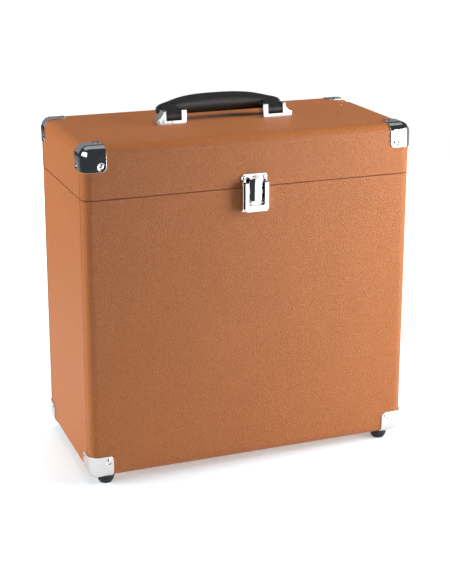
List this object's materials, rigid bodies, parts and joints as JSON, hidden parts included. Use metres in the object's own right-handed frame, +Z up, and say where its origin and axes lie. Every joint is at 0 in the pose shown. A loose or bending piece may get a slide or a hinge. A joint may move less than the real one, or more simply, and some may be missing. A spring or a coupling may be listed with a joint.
{
  "type": "record storage case",
  "caption": "Upright leatherette carrying case for LP records, with a back-hinged lid, front draw latch, folding top handle and metal corner caps.",
  "frame": {"origin": "on the floor under the feet, at the middle of the object's width and depth", "axes": "+Z up, -Y towards the front with the latch, +X to the right seen from the front"},
  "size_m": [0.358, 0.1897, 0.3827],
  "materials": {
    "fibreboard": "raw medium-density fibreboard",
    "leatherette": "fine-grained tan leatherette, satin",
    "lining": "black lining cloth",
    "chrome": "polished plated steel",
    "steel": "bright zinc-plated steel",
    "foot_rubber": "black rubber, matt",
    "handle_black": "black moulded grip, semi-matt"
  },
  "bodies": {
    "case_body": {"body_back_board": "fibreboard", "body_back_cover": "leatherette", "body_bottom_board": "fibreboard", "body_bottom_cover": "leatherette", "body_corner_nails": "chrome", "body_front_board": "fibreboard", "body_front_cover": "leatherette", "body_left_board": "fibreboard", "body_left_cover": "leatherette", "body_lining": "lining", "body_right_board": "fibreboard", "body_right_cover": "leatherette", "corner_cap_bottom_front_left": "chrome", "corner_cap_bottom_front_right": "chrome", "corner_cap_bottom_rear_left": "chrome", "corner_cap_bottom_rear_right": "chrome", "foot_front_left": "foot_rubber", "foot_front_right": "foot_rubber", "foot_rear_left": "foot_rubber", "foot_rear_right": "foot_rubber", "foot_screws": "steel", "hinge_body_leaf_left": "chrome", "hinge_body_leaf_right": "chrome", "hinge_body_screws": "chrome", "hinge_pins": "steel", "latch_base_plate": "chrome", "latch_base_rivets": "chrome", "latch_pivot_pins": "steel"},
    "lid": {"corner_cap_top_front_left": "chrome", "corner_cap_top_front_right": "chrome", "corner_cap_top_rear_left": "chrome", "corner_cap_top_rear_right": "chrome", "handle_backing_plate_left": "steel", "handle_backing_plate_right": "steel", "handle_bracket_left": "chrome", "handle_bracket_right": "chrome", "handle_bracket_screws": "steel", "handle_pins": "steel", "hinge_lid_leaf_left": "chrome", "hinge_lid_leaf_right": "chrome", "hinge_lid_screws": "chrome", "latch_catch_plate": "chrome", "latch_catch_rivets": "chrome", "lid_back_board": "fibreboard", "lid_corner_nails": "chrome", "lid_cover": "leatherette", "lid_front_board": "fibreboard", "lid_left_board": "fibreboard", "lid_lining": "lining", "lid_right_board": "fibreboard", "lid_top_board": "fibreboard"},
    "handle": {"handle_grip": "handle_black"},
    "latch_lever": {"latch_lever": "chrome", "latch_claw_pin": "steel"},
    "latch_claw": {"latch_claw": "chrome"}
  },
  "joints": [
    {"name": "lid_hinge", "type": "hinge", "parent": "case_body", "child": "lid", "pos_m": [0, 0.09185, 0.3043], "axis": [-1, 0, 0], "range_deg": [0, 105]},
    {"name": "handle_swing", "type": "hinge", "parent": "lid", "child": "handle", "pos_m": [0, 0.00165, 0.3648], "axis": [1, 0, 0], "range_deg": [0, 144]},
    {"name": "latch_lever_swing", "type": "hinge", "parent": "case_body", "child": "latch_lever", "pos_m": [0, -0.08985, 0.3082], "axis": [-1, 0, 0], "range_deg": [0, 88]},
    {"name": "latch_claw_swing", "type": "hinge", "parent": "latch_lever", "child": "latch_claw", "pos_m": [0, -0.09155, 0.2893], "axis": [-1, 0, 0], "range_deg": [-90, 0]}
  ],
  "couplings": [
    {"joint": "latch_claw_swing", "follows": "latch_lever_swing", "ratio": -1}
  ]
}
